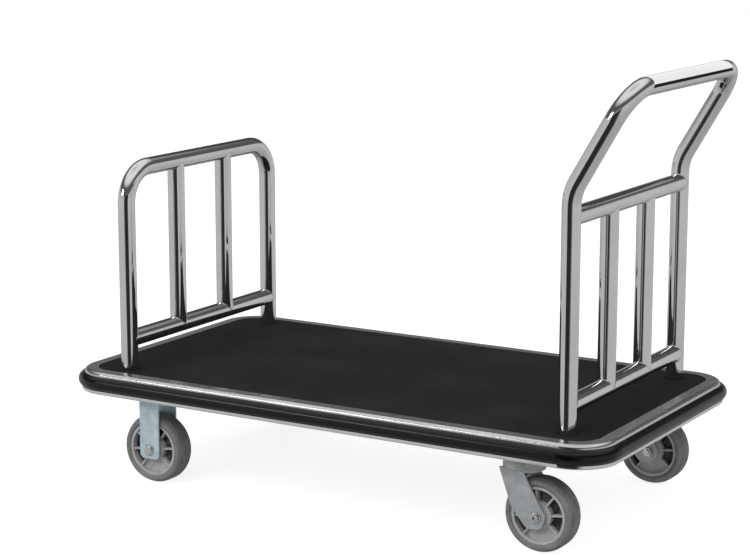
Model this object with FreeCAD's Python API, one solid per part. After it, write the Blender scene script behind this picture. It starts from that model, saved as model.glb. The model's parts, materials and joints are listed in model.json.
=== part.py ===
"""Hotel luggage cart: carpeted deck, end rail, push handle, two rigid and two swivel casters.

Frame: millimetres, +Z up. The origin is on the floor under the middle of the cart's outline.
+X runs along the cart to the push handle, +Y across it to the rear side.
"""
import FreeCAD, Part
import math
import os

os.makedirs("parts", exist_ok=True)

Vector = FreeCAD.Vector
ALONG_X = Vector(1, 0, 0)
ALONG_Y = Vector(0, 1, 0)
ALONG_Z = Vector(0, 0, 1)
SIDES = {"front": -1, "rear": 1}
SAME = 1e-6

# Deck, measured over the rubber bumper
DECK_LENGTH = 1309.0
DECK_WIDTH = 720.0
DECK_CORNER_R = 97.0
HANDLE_OVERHANG = 23.0

# Heights of the layers, from the casters up
CASTER_HEIGHT = 196.0
FRAME_DEPTH = 23.0
BOARD_THICKNESS = 18.0
CARPET_THICKNESS = 6.0
CARPET_PRESS = 1.0
FRAME_TOP = CASTER_HEIGHT + FRAME_DEPTH
BOARD_TOP = FRAME_TOP + BOARD_THICKNESS
CARPET_TOP = BOARD_TOP + CARPET_THICKNESS
CARPET_EDGE_TOP = CARPET_TOP - CARPET_PRESS

# Edge of the deck, as insets from the bumper's outermost line
BUMPER_THICKNESS = 18.0
BUMPER_BOTTOM = 203.0
BUMPER_TOP = 235.0
BUMPER_FACE_FLAT = 0.1
ROUND_MARGIN = 0.01
SHEET = 2.0
RIM_NOSE_INSET = 14.0
RIM_NOSE_R = 9.0
RIM_INNER_INSET = 45.0
CHANNEL_LIP_INSET = 8.0
CHANNEL_LIP_TOP = 204.0
CHANNEL_NOSE_R = 3.0
CHANNEL_FLANGE_END = 30.0
CHANNEL_WEB_INNER = BUMPER_THICKNESS + SHEET

# Tubes
TUBE_R = 19.0
TUBE_WALL = 1.5
TUBE_BORE_R = TUBE_R - TUBE_WALL
POST_CLEARANCE = 0.25

# End rail
END_RAIL_INSET = 128.0
END_RAIL_HALF_GAP = 275.0
END_RAIL_TOP = 686.0
END_RAIL_CORNER_R = 76.0
END_RAIL_CROSSBAR_Z = 311.0

# Push handle
HANDLE_INSET = 116.0
HANDLE_HALF_GAP = 267.0
HANDLE_BEND_Z = 720.0
HANDLE_TOP_Z = 925.0
HANDLE_LEAN_OUT = 120.0
HANDLE_BEND_R = 95.0
HANDLE_CORNER_R = 70.0
HANDLE_MID_CROSSBAR_Z = 673.0
HANDLE_LOW_CROSSBAR_Z = 299.0

# Frame under the board
RAIL_WIDTH = 90.0
RAIL_END_INSET = 74.0
CROSS_WIDTH = 50.0
BOX_WALL = 2.0

# Casters
WHEEL_R = 76.0
AXLE_Z = WHEEL_R
CASTER_HALF_GAP = 276.0
RIGID_INSET = 203.0
KINGPIN_INSET = 204.0
TRAIL = 42.0
LEG_GAP_HALF = 30.0
LEG_THICKNESS = 4.0
LEG_EDGE_ROUND = 0.8
LEG_TOP_ROUND = 1.0
PLATE_THICKNESS = 4.0
PLATE_LENGTH = 110.0
PLATE_WIDTH = 90.0
PLATE_CORNER_R = 8.0
PLATE_BOLT_X = 45.0
PLATE_BOLT_Y = 34.0
RIGID_LEG_WIDTH = 51.0
RIGID_LEG_DROP = 20.0
RIGID_LEG_CORNER_R = 12.0
# Outline of a swivel leg below the crown, as offsets from the axle, with the corner radius at each
SWIVEL_LEG = [(-54, 14, 30), (-20, -26, 16), (12, -24, 14), (22, 2, 16), (-20, 74, 20)]
SWIVEL_LEG_TOP_FRONT = -40.0
SWIVEL_LEG_TOP_BACK = 12.0

# Wheel
TYRE_HALF_WIDTH = 26.0
TYRE_FLAT_HALF = 14.0
TYRE_SHOULDER_R = 70.0
TYRE_FOOT_R = 63.0
TYRE_EDGE_ROUND = 0.5
TYRE_SIDE_ROUND = 3.0
TYRE_SHOULDER_ROUND = 7.0
TYRE_TREAD_ROUND = 14.0
RIM_R = 59.0
RIM_INNER_R = 53.5
RIM_HALF_WIDTH = 22.0
HUB_R = 28.0
HUB_BOSS_R = 14.0
HUB_HALF_WIDTH = 21.0
RIB_HALF_WIDTH = 20.0
RIB_OVERLAP = 1.0
WEB_HALF_WIDTH = 4.0
RIB_COUNT = 7
RIB_START = -38.0
RIB_STEP = 45.0
RIB_THICKNESS = 3.5
PANEL_HALF_WIDTH = 12.0
SPIN_GAP = 0.3
SLEEVE_R = 9.0
RUNNING_GAP = 0.08

# Swivel bearing
# The raceway balls stand on the race, which is the raised middle of the fork's crown.
CROWN_TOP = 169.0
CROWN_THICKNESS = 5.0
CROWN_R = 43.0
RACE_R = 34.0
RACE_TOP = 174.0
BALL_R = 4.0
BALL_COUNT = 16
BALL_CIRCLE_R = 27.0
CUP_SKIRT = 3.0

# Screws, bolts and nuts
M6_R = 3.0
M8_R = 4.0
M12_R = 6.0
EDGE_SCREW_R = 1.8
EDGE_SCREW_HEAD_R = 3.5
EDGE_SCREW_LENGTH = 20.0
EDGE_SCREW_PITCH = 190.0
DECK_BOLT_HEAD_R = 6.5
DECK_BOLT_HEAD = 3.5
DECK_BOLT_PITCH = 290.0
PLUG_HEIGHT = 40.0
POST_BOLT_HEAD = 8.0
POST_BOLT_FLATS = 18.0
POST_BOLT_FLANGE_R = 13.0
POST_BOLT_FLANGE = 2.0
POST_BOLT_REACH = 30.0
PLATE_BOLT_FLATS = 13.0
PLATE_BOLT_HEAD = 5.5
PLATE_BOLT_REACH = 10.0
KINGPIN_TIP_Z = 148.0
KINGPIN_NUT_FLATS = 19.0
KINGPIN_NUT_HEIGHT = 11.0
AXLE_HEAD_R = 12.0
AXLE_HEAD = 5.0
AXLE_HEAD_ROUND = 4.0
AXLE_SOCKET_FLATS = 8.0
AXLE_SOCKET_DEPTH = 3.0
AXLE_NUT_FLATS = 18.0
AXLE_NUT = 9.0
AXLE_TIP = 3.0

# Worked out from the above
HANDLE_X = (DECK_LENGTH + HANDLE_OVERHANG) / 2 - HANDLE_LEAN_OUT - TUBE_R
DECK_X1 = HANDLE_X + HANDLE_INSET
DECK_X0 = DECK_X1 - DECK_LENGTH
END_RAIL_X = DECK_X0 + END_RAIL_INSET
RIGID_X = DECK_X0 + RIGID_INSET
KINGPIN_X = DECK_X1 - KINGPIN_INSET
PLATE_BOTTOM = CASTER_HEIGHT - PLATE_THICKNESS
LEG_FACE = LEG_GAP_HALF + LEG_THICKNESS


def box(x0, x1, y0, y1, z0, z1):
    return Part.makeBox(x1 - x0, y1 - y0, z1 - z0, Vector(x0, y0, z0))


def rod(radius, length, start, direction=ALONG_Z):
    return Part.makeCylinder(radius, length, start, direction)


def ring(outer, inner, length, start, direction=ALONG_Z):
    return rod(outer, length, start, direction).cut(rod(inner, length, start, direction))


def hexagon(across_flats, height, base, direction=ALONG_Z):
    """Hexagonal prism standing on base and growing along direction."""
    corner_r = across_flats / math.sqrt(3)
    corners = []
    for step in range(7):
        turn = math.radians(60 * step)
        corners.append(Vector(corner_r * math.cos(turn), corner_r * math.sin(turn), 0))
    prism = Part.Face(Part.makePolygon(corners)).extrude(Vector(0, 0, height))
    prism.Placement = FreeCAD.Placement(base, FreeCAD.Rotation(ALONG_Z, direction))
    return prism


def export(name, shape):
    shape.removeSplitter().exportStep("parts/%s.step" % name)


def bent_path(points, radii):
    """Straight runs through the points, with an arc of the given radius at each inner point."""
    edges = []
    start = points[0]
    for index, radius in enumerate(radii):
        corner = points[index + 1]
        back = (points[index] - corner).normalize()
        ahead = (points[index + 2] - corner).normalize()
        half_angle = back.getAngle(ahead) / 2
        setback = radius / math.tan(half_angle)
        arc_start = corner + back * setback
        arc_end = corner + ahead * setback
        bisector = (back + ahead).normalize()
        arc_middle = corner + bisector * (radius / math.sin(half_angle) - radius)
        edges.append(Part.LineSegment(start, arc_start).toShape())
        edges.append(Part.Arc(arc_start, arc_middle, arc_end).toShape())
        start = arc_end
    edges.append(Part.LineSegment(start, points[-1]).toShape())
    return Part.Wire(edges)


def swept_rod(path, radius):
    """Solid round bar along a path whose first run is straight."""
    first = path.OrderedEdges[0]
    start = first.valueAt(first.FirstParameter)
    direction = first.tangentAt(first.FirstParameter)
    profile = Part.Wire([Part.makeCircle(radius, start, direction)])
    return path.makePipeShell([profile], True, False)


def bent_tube(path):
    return swept_rod(path, TUBE_R).cut(swept_rod(path, TUBE_BORE_R))


def coped_tube(start, end, neighbours):
    """Straight tube between two centre lines, with its ends cut to sit on its neighbours."""
    run = end - start
    tube = ring(TUBE_R, TUBE_BORE_R, run.Length, start, run)
    for neighbour in neighbours:
        tube = tube.cut(neighbour)
    return tube


def closed_outline(points, radii):
    """Closed polygon in one plane, each of its corners rounded by its own radius."""
    middle = (points[0] + points[-1]) * 0.5
    loop = [middle] + list(points) + [middle]
    return bent_path(loop, radii)


def deck_slab(inset, bottom, top):
    """Slab with the deck's outline, drawn in from the bumper's outermost line by inset."""
    x0 = DECK_X0 + inset
    x1 = DECK_X1 - inset
    y1 = DECK_WIDTH / 2 - inset
    corners = [Vector(x0, -y1, bottom), Vector(x1, -y1, bottom),
               Vector(x1, y1, bottom), Vector(x0, y1, bottom)]
    outline = closed_outline(corners, [DECK_CORNER_R - inset] * 4)
    return Part.Face(outline).extrude(Vector(0, 0, top - bottom))


def round_over(slab, radius, heights):
    """Round the slab's outline edges that lie wholly at the given heights."""
    edges = []
    for edge in slab.Edges:
        bounds = edge.BoundBox
        for height in heights:
            if abs(bounds.ZMin - height) < SAME and abs(bounds.ZMax - height) < SAME:
                edges.append(edge)
    return slab.makeFillet(radius, edges)


def post_positions(x, half_gap):
    return [Vector(x, side * half_gap, FRAME_TOP) for side in SIDES.values()]


END_RAIL_POSTS = post_positions(END_RAIL_X, END_RAIL_HALF_GAP)
HANDLE_POSTS = post_positions(HANDLE_X, HANDLE_HALF_GAP)
POSTS = END_RAIL_POSTS + HANDLE_POSTS

def edge_screw_places():
    """Where each edge screw enters the channel's web, and the way it points into the board."""
    height = (FRAME_TOP + BOARD_TOP) / 2
    places = []
    half_y = DECK_WIDTH / 2 - BUMPER_THICKNESS
    middle_x = (DECK_X0 + DECK_X1) / 2
    for step in range(-2, 3):
        x = middle_x + step * EDGE_SCREW_PITCH
        for side in SIDES.values():
            places.append((Vector(x, side * half_y, height), ALONG_Y * -side))
    for step in (-1, 1):
        y = step * EDGE_SCREW_PITCH
        places.append((Vector(DECK_X0 + BUMPER_THICKNESS, y, height), ALONG_X))
        places.append((Vector(DECK_X1 - BUMPER_THICKNESS, y, height), ALONG_X * -1))
    return places


def edge_screw(place, direction):
    head = Part.makeCone(EDGE_SCREW_HEAD_R, EDGE_SCREW_R, SHEET, place, direction)
    shank = rod(EDGE_SCREW_R, EDGE_SCREW_LENGTH, place, direction)
    return head.fuse(shank).removeSplitter()


def edge_screws():
    return [edge_screw(place, direction) for place, direction in edge_screw_places()]


def deck_bolts():
    """Countersunk bolts through the board into the top wall of each frame rail."""
    bolts = []
    middle_x = (DECK_X0 + DECK_X1) / 2
    for step in (-1.5, -0.5, 0.5, 1.5):
        for side in SIDES.values():
            top = Vector(middle_x + step * DECK_BOLT_PITCH, side * CASTER_HALF_GAP, BOARD_TOP)
            head = Part.makeCone(DECK_BOLT_HEAD_R, M6_R, DECK_BOLT_HEAD, top, ALONG_Z * -1)
            shank = rod(M6_R, BOARD_THICKNESS + 2 * BOX_WALL, top, ALONG_Z * -1)
            bolts.append(head.fuse(shank).removeSplitter())
    return bolts


def cut_all(shape, tools):
    for tool in tools:
        shape = shape.cut(tool)
    return shape


def post_holes(bottom, top):
    return [rod(TUBE_R + POST_CLEARANCE, top - bottom, Vector(post.x, post.y, bottom)) for post in POSTS]


def build_deck():
    # The carpet is pressed down all round where the rim clamps it.
    carpet = deck_slab(RIM_NOSE_INSET + RIM_NOSE_R, BOARD_TOP, CARPET_EDGE_TOP)
    carpet = carpet.fuse(deck_slab(RIM_INNER_INSET, BOARD_TOP, CARPET_TOP))
    export("carpet", cut_all(carpet, post_holes(BOARD_TOP, CARPET_TOP)))

    board = deck_slab(CHANNEL_WEB_INNER, FRAME_TOP, BOARD_TOP)
    board = cut_all(board, post_holes(FRAME_TOP, BOARD_TOP) + edge_screws() + deck_bolts())
    export("deck_board", board)

    rim_top = CARPET_EDGE_TOP + SHEET
    rim_bottom = rim_top - RIM_NOSE_R
    outer = deck_slab(RIM_NOSE_INSET, rim_bottom, rim_top)
    outer = round_over(outer, RIM_NOSE_R - ROUND_MARGIN, [rim_top])
    inner = deck_slab(RIM_NOSE_INSET + SHEET, rim_bottom, CARPET_EDGE_TOP)
    inner = round_over(inner, RIM_NOSE_R - SHEET - ROUND_MARGIN, [CARPET_EDGE_TOP])
    rim = outer.cut(inner).cut(deck_slab(RIM_INNER_INSET, CARPET_EDGE_TOP, rim_top))
    export("rim_trim", rim)

    nose_r = (BUMPER_TOP - BUMPER_BOTTOM) / 2 - BUMPER_FACE_FLAT
    bumper = round_over(deck_slab(0, BUMPER_BOTTOM, BUMPER_TOP), nose_r, [BUMPER_BOTTOM, BUMPER_TOP])
    export("bumper", bumper.cut(deck_slab(BUMPER_THICKNESS, BUMPER_BOTTOM, BUMPER_TOP)))

    lip = deck_slab(CHANNEL_LIP_INSET, CASTER_HEIGHT, CHANNEL_LIP_TOP)
    lip = round_over(lip, CHANNEL_NOSE_R, [CASTER_HEIGHT])
    lip = lip.cut(deck_slab(CHANNEL_LIP_INSET + SHEET, CASTER_HEIGHT + SHEET, CHANNEL_LIP_TOP))
    web = deck_slab(BUMPER_THICKNESS, CASTER_HEIGHT + SHEET, BOARD_TOP)
    web = web.cut(deck_slab(CHANNEL_WEB_INNER, CASTER_HEIGHT + SHEET, BOARD_TOP))
    channel = lip.fuse(web).cut(deck_slab(CHANNEL_FLANGE_END, CASTER_HEIGHT, CASTER_HEIGHT + SHEET))
    export("edge_channel", cut_all(channel, edge_screws()))
    export("edge_screws", Part.makeCompound(edge_screws()))
    export("deck_bolts", Part.makeCompound(deck_bolts()))


def box_tube(x0, x1, y0, y1, along_x):
    outer = box(x0, x1, y0, y1, CASTER_HEIGHT, FRAME_TOP)
    dx = 0 if along_x else BOX_WALL
    dy = BOX_WALL if along_x else 0
    bore = box(x0 + dx, x1 - dx, y0 + dy, y1 - dy, CASTER_HEIGHT + BOX_WALL, FRAME_TOP - BOX_WALL)
    return outer.cut(bore)


def build_frame():
    feet = [Vector(post.x, post.y, CASTER_HEIGHT) for post in POSTS]
    bolt_rods = [rod(M12_R + POST_CLEARANCE, FRAME_DEPTH, foot) for foot in feet]
    plate_rods = []
    for x in (RIGID_X, KINGPIN_X):
        for side in SIDES.values():
            plate_rods += plate_bolt_shanks(x, side * CASTER_HALF_GAP)
    for name, side in SIDES.items():
        middle = side * CASTER_HALF_GAP
        rail = box_tube(DECK_X0 + RAIL_END_INSET, DECK_X1 - RAIL_END_INSET,
                        middle - RAIL_WIDTH / 2, middle + RAIL_WIDTH / 2, True)
        export("frame_rail_" + name, cut_all(rail, bolt_rods + plate_rods + deck_bolts()))
    half_span = CASTER_HALF_GAP - RAIL_WIDTH / 2
    crosses = {"rigid": RIGID_X, "middle": (RIGID_X + KINGPIN_X) / 2, "swivel": KINGPIN_X}
    for name, x in crosses.items():
        cross = box_tube(x - CROSS_WIDTH / 2, x + CROSS_WIDTH / 2, -half_span, half_span, False)
        export("frame_cross_" + name, cross)


def foot_plugs(posts):
    """Threaded plugs in the feet of a pair of posts."""
    return [ring(TUBE_BORE_R, M12_R, PLUG_HEIGHT, post) for post in posts]


def foot_bolts(posts):
    """Flanged bolts from under the frame rail up into the plugs."""
    bolts = []
    for post in posts:
        base = Vector(post.x, post.y, CASTER_HEIGHT)
        flange = rod(POST_BOLT_FLANGE_R, POST_BOLT_FLANGE, base, ALONG_Z * -1)
        head = hexagon(POST_BOLT_FLATS, POST_BOLT_HEAD, base, ALONG_Z * -1)
        shank = rod(M12_R, FRAME_DEPTH + POST_BOLT_REACH, base)
        bolts.append(shank.fuse([flange, head]).removeSplitter())
    return bolts


def middle_bar(x, y, bottom, top):
    """Upright between two level tubes whose centre lines are at the given heights."""
    reach = END_RAIL_HALF_GAP
    level_rods = [rod(TUBE_R, 2 * reach, Vector(x, -reach, z), ALONG_Y) for z in (bottom, top)]
    return coped_tube(Vector(x, y, bottom), Vector(x, y, top), level_rods)


def build_end_rail():
    x = END_RAIL_X
    y = END_RAIL_HALF_GAP
    path = bent_path([Vector(x, -y, FRAME_TOP), Vector(x, -y, END_RAIL_TOP), Vector(x, y, END_RAIL_TOP),
                      Vector(x, y, FRAME_TOP)], [END_RAIL_CORNER_R] * 2)
    export("end_rail_hoop", bent_tube(path))
    post_rods = [rod(TUBE_R, END_RAIL_TOP - FRAME_TOP, post) for post in END_RAIL_POSTS]
    crossbar = coped_tube(Vector(x, -y, END_RAIL_CROSSBAR_Z), Vector(x, y, END_RAIL_CROSSBAR_Z), post_rods)
    export("end_rail_crossbar", crossbar)
    for name, side in SIDES.items():
        bar = middle_bar(x, side * y / 3, END_RAIL_CROSSBAR_Z, END_RAIL_TOP)
        export("end_rail_bar_" + name, bar)
    export("end_rail_plugs", Part.makeCompound(foot_plugs(END_RAIL_POSTS)))
    export("end_rail_bolts", Part.makeCompound(foot_bolts(END_RAIL_POSTS)))


def build_handle():
    x = HANDLE_X
    y = HANDLE_HALF_GAP
    x_top = x + HANDLE_LEAN_OUT
    points = [Vector(x, -y, FRAME_TOP), Vector(x, -y, HANDLE_BEND_Z), Vector(x_top, -y, HANDLE_TOP_Z),
              Vector(x_top, y, HANDLE_TOP_Z), Vector(x, y, HANDLE_BEND_Z), Vector(x, y, FRAME_TOP)]
    radii = [HANDLE_BEND_R, HANDLE_CORNER_R, HANDLE_CORNER_R, HANDLE_BEND_R]
    export("handle_hoop", bent_tube(bent_path(points, radii)))
    post_rods = [rod(TUBE_R, HANDLE_BEND_Z - FRAME_TOP, post) for post in HANDLE_POSTS]
    levels = {"low": HANDLE_LOW_CROSSBAR_Z, "mid": HANDLE_MID_CROSSBAR_Z}
    for name, z in levels.items():
        crossbar = coped_tube(Vector(x, -y, z), Vector(x, y, z), post_rods)
        export("handle_%s_crossbar" % name, crossbar)
    for name, side in SIDES.items():
        bar = middle_bar(x, side * y / 3, HANDLE_LOW_CROSSBAR_Z, HANDLE_MID_CROSSBAR_Z)
        export("handle_bar_" + name, bar)
    export("handle_plugs", Part.makeCompound(foot_plugs(HANDLE_POSTS)))
    export("handle_bolts", Part.makeCompound(foot_bolts(HANDLE_POSTS)))


def plate_bolt_places(x, y):
    places = []
    for along in (-1, 1):
        for across in (-1, 1):
            places.append(Vector(x + along * PLATE_BOLT_X, y + across * PLATE_BOLT_Y, PLATE_BOTTOM))
    return places


def plate_bolt_shanks(x, y):
    length = PLATE_THICKNESS + PLATE_BOLT_REACH
    return [rod(M8_R, length, place) for place in plate_bolt_places(x, y)]


def plate_bolts(x, y):
    """Four hexagon bolts that hold a caster's top plate to the frame rail."""
    bolts = []
    for place, shank in zip(plate_bolt_places(x, y), plate_bolt_shanks(x, y)):
        head = hexagon(PLATE_BOLT_FLATS, PLATE_BOLT_HEAD, place, ALONG_Z * -1)
        bolts.append(head.fuse(shank).removeSplitter())
    return bolts


def top_plate(x, y):
    x0 = x - PLATE_LENGTH / 2
    x1 = x + PLATE_LENGTH / 2
    y0 = y - PLATE_WIDTH / 2
    y1 = y + PLATE_WIDTH / 2
    corners = [Vector(x0, y0, PLATE_BOTTOM), Vector(x1, y0, PLATE_BOTTOM),
               Vector(x1, y1, PLATE_BOTTOM), Vector(x0, y1, PLATE_BOTTOM)]
    plate = Part.Face(closed_outline(corners, [PLATE_CORNER_R] * 4)).extrude(Vector(0, 0, PLATE_THICKNESS))
    return cut_all(plate, plate_bolt_shanks(x, y))


def leg_plate(points, radii, y_inner, outward):
    """Flat leg from an outline in a vertical plane; the edges of its outer face are rounded."""
    outline = [Vector(x, y_inner, z) for x, z in points]
    leg = Part.Face(closed_outline(outline, radii)).extrude(Vector(0, outward * LEG_THICKNESS, 0))
    y_outer = y_inner + outward * LEG_THICKNESS
    rim = []
    for edge in leg.Edges:
        bounds = edge.BoundBox
        if abs(bounds.YMin - y_outer) < SAME and abs(bounds.YMax - y_outer) < SAME:
            rim.append(edge)
    return leg.makeFillet(LEG_EDGE_ROUND, rim)


def axle_hole(x, y):
    return rod(M12_R, 2 * LEG_FACE, Vector(x, y - LEG_FACE, AXLE_Z), ALONG_Y)


def rigid_fork(x, y):
    """Top plate and two straight legs, pressed and welded as one piece."""
    half = RIGID_LEG_WIDTH / 2
    foot = AXLE_Z - RIGID_LEG_DROP
    points = [(x - half, PLATE_BOTTOM), (x - half, foot), (x + half, foot), (x + half, PLATE_BOTTOM)]
    radii = [LEG_TOP_ROUND, RIGID_LEG_CORNER_R, RIGID_LEG_CORNER_R, LEG_TOP_ROUND]
    fork = top_plate(x, y)
    for side in SIDES.values():
        leg = leg_plate(points, radii, y + side * LEG_GAP_HALF, side)
        fork = fork.fuse(leg)
    return fork.cut(axle_hole(x, y))


def swivel_fork(x, y):
    """Crown plate and lower race round the kingpin at x, with raked legs down to the trailing axle."""
    axle_x = x + TRAIL
    crown_bottom = CROWN_TOP - CROWN_THICKNESS
    points = [(x + SWIVEL_LEG_TOP_FRONT, CROWN_TOP)]
    points += [(axle_x + along, AXLE_Z + up) for along, up, corner_r in SWIVEL_LEG]
    points.append((x + SWIVEL_LEG_TOP_BACK, CROWN_TOP))
    radii = [LEG_TOP_ROUND] + [corner_r for along, up, corner_r in SWIVEL_LEG] + [LEG_TOP_ROUND]
    crown = rod(CROWN_R, CROWN_THICKNESS, Vector(x, y, crown_bottom))
    crown = crown.common(box(x - CROWN_R, x + CROWN_R, y - LEG_FACE, y + LEG_FACE, crown_bottom, CROWN_TOP))
    fork = crown.fuse(rod(RACE_R, RACE_TOP - CROWN_TOP, Vector(x, y, CROWN_TOP)))
    for side in SIDES.values():
        fork = fork.fuse(leg_plate(points, radii, y + side * LEG_GAP_HALF, side))
    bore = rod(M12_R + RUNNING_GAP, RACE_TOP - crown_bottom, Vector(x, y, crown_bottom))
    return fork.cut(bore).cut(axle_hole(axle_x, y))


def swivel_top(x, y):
    """Top plate of a swivel caster, with the hole that the kingpin is fixed in."""
    return top_plate(x, y).cut(rod(M12_R, PLATE_THICKNESS, Vector(x, y, PLATE_BOTTOM)))


def raceway_cup(x, y):
    """Cup fixed under the top plate; its skirt shields the balls."""
    ceiling = RACE_TOP + SPIN_GAP + 2 * BALL_R
    skirt_bottom = CROWN_TOP + 2 * SPIN_GAP
    cup = rod(CROWN_R, PLATE_BOTTOM - skirt_bottom, Vector(x, y, skirt_bottom))
    cup = cup.makeFillet(CUP_SKIRT, [edge for edge in cup.Edges if edge.BoundBox.ZMin > PLATE_BOTTOM - SAME])
    hollow = rod(CROWN_R - CUP_SKIRT, ceiling - skirt_bottom, Vector(x, y, skirt_bottom))
    return cup.cut(hollow).cut(rod(M12_R, PLATE_BOTTOM - skirt_bottom, Vector(x, y, skirt_bottom)))


def balls(x, y):
    height = RACE_TOP + SPIN_GAP + BALL_R
    solids = []
    for step in range(BALL_COUNT):
        turn = 2 * math.pi * step / BALL_COUNT
        centre = Vector(x + BALL_CIRCLE_R * math.cos(turn), y + BALL_CIRCLE_R * math.sin(turn), height)
        solids.append(Part.makeSphere(BALL_R, centre))
    return Part.makeCompound(solids)


def kingpin_nut(x, y):
    top = Vector(x, y, CROWN_TOP - CROWN_THICKNESS - SPIN_GAP)
    return hexagon(KINGPIN_NUT_FLATS, KINGPIN_NUT_HEIGHT, top, ALONG_Z * -1).cut(kingpin(x, y))


def kingpin(x, y):
    return rod(M12_R, CASTER_HEIGHT - KINGPIN_TIP_Z, Vector(x, y, KINGPIN_TIP_Z))


def axle_bolt(x, y, side, socket):
    """Round-headed axle bolt with its head on the cart's outer side."""
    inward = ALONG_Y * -side
    seat = Vector(x, y + side * LEG_FACE, AXLE_Z)
    head_top = seat - inward * AXLE_HEAD
    head = rod(AXLE_HEAD_R, AXLE_HEAD, seat, inward * -1)
    rim = [edge for edge in head.Edges if (edge.CenterOfMass - head_top).Length < SAME]
    head = head.makeFillet(AXLE_HEAD_ROUND, rim)
    shank = rod(M12_R, 2 * LEG_FACE + AXLE_NUT + AXLE_TIP, seat, inward)
    bolt = head.fuse(shank)
    if socket:
        bolt = bolt.cut(hexagon(AXLE_SOCKET_FLATS, AXLE_SOCKET_DEPTH, head_top, inward))
    return bolt


def axle_nut(x, y, side):
    seat = Vector(x, y - side * LEG_FACE, AXLE_Z)
    inward = ALONG_Y * -side
    return hexagon(AXLE_NUT_FLATS, AXLE_NUT, seat, inward).cut(rod(M12_R, AXLE_NUT, seat, inward))


def axle_sleeve(x, y):
    return ring(SLEEVE_R, M12_R, 2 * LEG_GAP_HALF, Vector(x, y - LEG_GAP_HALF, AXLE_Z), ALONG_Y)


def disc(outer, inner, half_width, x, y):
    return ring(outer, inner, 2 * half_width, Vector(x, y - half_width, AXLE_Z), ALONG_Y)


def wheel_panel(x, y):
    """Flat panel that closes the sector between the last rib and the first."""
    sweep = 360 - RIB_STEP * (RIB_COUNT - 1)
    base = Vector(0, 0, -PANEL_HALF_WIDTH)
    panel = Part.makeCylinder(RIM_INNER_R, 2 * PANEL_HALF_WIDTH, base, ALONG_Z, sweep)
    panel = panel.cut(rod(HUB_R - RIB_OVERLAP, 2 * PANEL_HALF_WIDTH, base))
    panel.rotate(Vector(), ALONG_Z, RIB_START - sweep)
    panel.rotate(Vector(), ALONG_X, 90)
    panel.translate(Vector(x, y, AXLE_Z))
    return panel


def wheel_core(x, y):
    """Moulded wheel centre: rim, hub, thin web, radial ribs and one closed panel."""
    bore = SLEEVE_R + RUNNING_GAP
    core = disc(RIM_R, RIM_INNER_R, RIM_HALF_WIDTH, x, y)
    core = core.fuse(disc(RIM_INNER_R, bore, WEB_HALF_WIDTH, x, y))
    core = core.fuse(disc(HUB_R, bore, HUB_HALF_WIDTH, x, y))
    core = core.fuse(disc(HUB_BOSS_R, bore, LEG_GAP_HALF - SPIN_GAP, x, y))
    rib_x0 = x + HUB_R - RIB_OVERLAP
    rib_x1 = x + RIM_INNER_R + RIB_OVERLAP
    for step in range(RIB_COUNT):
        rib = box(rib_x0, rib_x1, y - RIB_HALF_WIDTH, y + RIB_HALF_WIDTH,
                  AXLE_Z - RIB_THICKNESS / 2, AXLE_Z + RIB_THICKNESS / 2)
        rib.rotate(Vector(x, y, AXLE_Z), ALONG_Y, -(RIB_START + RIB_STEP * step))
        core = core.fuse(rib)
    return core.fuse(wheel_panel(x, y))


def tyre(x, y):
    """Rubber tread bonded to the rim, flat in the middle with rounded shoulders."""
    profile = [(RIM_HALF_WIDTH, RIM_R, TYRE_EDGE_ROUND),
               (TYRE_HALF_WIDTH, TYRE_FOOT_R, TYRE_SIDE_ROUND),
               (TYRE_HALF_WIDTH, TYRE_SHOULDER_R, TYRE_SHOULDER_ROUND),
               (TYRE_FLAT_HALF, WHEEL_R, TYRE_TREAD_ROUND)]
    points = [Vector(x, y - across, AXLE_Z + out) for across, out, corner_r in profile]
    points += [Vector(x, y + across, AXLE_Z + out) for across, out, corner_r in reversed(profile)]
    radii = [corner_r for across, out, corner_r in profile]
    outline = closed_outline(points, radii + radii[::-1])
    return Part.Face(outline).revolve(Vector(x, y, AXLE_Z), ALONG_Y, 360)


def build_wheel(name, x, y):
    export(name + "_wheel_core", wheel_core(x, y))
    export(name + "_tyre", tyre(x, y))


def build_axle(name, x, y, side, socket):
    export(name + "_axle_bolt", axle_bolt(x, y, side, socket))
    export(name + "_axle_nut", axle_nut(x, y, side))
    export(name + "_axle_sleeve", axle_sleeve(x, y))


def build_casters():
    all_plate_bolts = []
    kingpin_nuts = []
    for side_name, side in SIDES.items():
        y = side * CASTER_HALF_GAP
        rigid = "rigid_" + side_name
        export(rigid + "_fork", rigid_fork(RIGID_X, y))
        all_plate_bolts += plate_bolts(RIGID_X, y) + plate_bolts(KINGPIN_X, y)
        build_axle(rigid, RIGID_X, y, side, False)
        build_wheel(rigid, RIGID_X, y)

        swivel = "swivel_" + side_name
        export(swivel + "_plate", swivel_top(KINGPIN_X, y))
        export(swivel + "_raceway_cup", raceway_cup(KINGPIN_X, y))
        export(swivel + "_balls", balls(KINGPIN_X, y))
        export(swivel + "_kingpin", kingpin(KINGPIN_X, y))
        kingpin_nuts.append(kingpin_nut(KINGPIN_X, y))
        export(swivel + "_fork", swivel_fork(KINGPIN_X, y))
        build_axle(swivel, KINGPIN_X + TRAIL, y, side, True)
        build_wheel(swivel, KINGPIN_X + TRAIL, y)
    export("caster_plate_bolts", Part.makeCompound(all_plate_bolts))
    export("kingpin_nuts", Part.makeCompound(kingpin_nuts))


build_deck()
build_frame()
build_end_rail()
build_handle()
build_casters()
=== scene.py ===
"""Looks for the hotel luggage cart: materials, carpet sheet, weld beads, studio and camera."""
import bpy
import json
import math
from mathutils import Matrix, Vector, noise
from mathutils.geometry import delaunay_2d_cdt


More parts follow.
